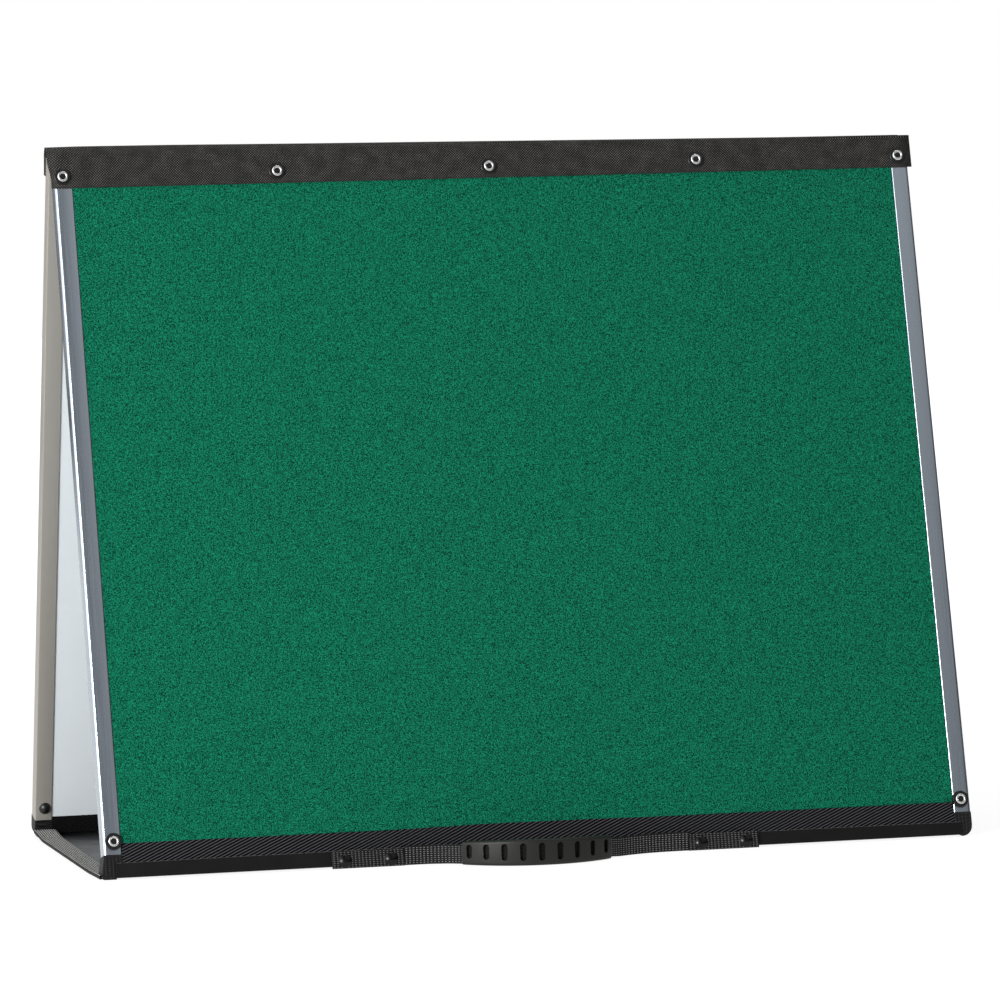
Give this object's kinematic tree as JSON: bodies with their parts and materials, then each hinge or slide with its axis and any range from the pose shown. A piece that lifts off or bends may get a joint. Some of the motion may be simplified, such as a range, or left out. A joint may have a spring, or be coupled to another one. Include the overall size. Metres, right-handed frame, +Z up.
{
  "type": "magnetic desk whiteboard easel",
  "caption": "Folding desk easel: a green felt board in front, a magnetic whiteboard behind, a fabric spine hinge, a limp base sheet and a webbing carry handle.",
  "frame": {"origin": "middle of the base sheet's underside, on the table, straight below the spine hinge", "axes": "+X along the boards to the right, seen from the felt side; +Y from the felt board to the whiteboard; +Z up"},
  "size_m": [0.6155, 0.3256, 0.4838],
  "materials": {
    "board_core": "raw fibreboard",
    "felt": "brushed green felt",
    "white_sheet": "satin laminate",
    "white_enamel": "gloss writing enamel",
    "trim_aluminium": "satin anodised",
    "twill_tape": "heavy diagonal twill",
    "black_vinyl": "semi-gloss vinyl sheet",
    "spine_fabric": "coated nylon weave",
    "bright_rivet": "nickel plated",
    "black_plastic": "satin black",
    "black_webbing": "ribbed webbing",
    "grip_plastic": "satin moulded plastic"
  },
  "bodies": {
    "front_panel": {"front_core": "board_core", "front_felt": "felt", "front_liner": "white_sheet", "front_trim_left": "trim_aluminium", "front_trim_right": "trim_aluminium", "front_binding": "twill_tape", "kick_strip": "black_vinyl", "spine_front": "spine_fabric", "spine_rivets_front": "bright_rivet", "spine_washers_front": "black_plastic", "corner_rivets_front": "bright_rivet", "corner_washers_front": "black_plastic", "corner_caps_front": "black_plastic", "corner_boot_front_left": "black_webbing", "corner_boot_front_right": "black_webbing", "handle_strap_left": "black_webbing", "handle_strap_right": "black_webbing", "handle_rivets": "black_plastic", "base_sheet": "black_vinyl", "base_tape_left": "black_webbing", "base_tape_right": "black_webbing"},
    "rear_panel": {"rear_core": "board_core", "rear_steel_sheet": "white_enamel", "rear_liner": "white_sheet", "rear_trim_left": "trim_aluminium", "rear_trim_right": "trim_aluminium", "rear_binding": "twill_tape", "rear_kick_strip": "black_vinyl", "spine_rear": "spine_fabric", "spine_rivets_rear": "bright_rivet", "spine_washers_rear": "black_plastic", "corner_rivets_rear": "bright_rivet", "corner_washers_rear": "black_plastic", "corner_caps_rear": "black_plastic", "corner_boot_rear_left": "black_webbing", "corner_boot_rear_right": "black_webbing"},
    "handle": {"handle_webbing": "black_webbing", "handle_grip": "grip_plastic"}
  },
  "joints": [
    {"name": "spine_fold", "type": "hinge", "parent": "front_panel", "child": "rear_panel", "pos_m": [0, 0, 0.47963], "axis": [-1, 0, 0], "range_deg": [0, 28.6], "deforming": ["base_sheet", "base_tape_left", "base_tape_right"]},
    {"name": "handle_swing", "type": "hinge", "parent": "front_panel", "child": "handle", "pos_m": [0, -0.14353, 0.0089], "axis": [-1, 0, 0], "range_deg": [-76, 76], "deforming": ["handle_webbing"]}
  ]
}
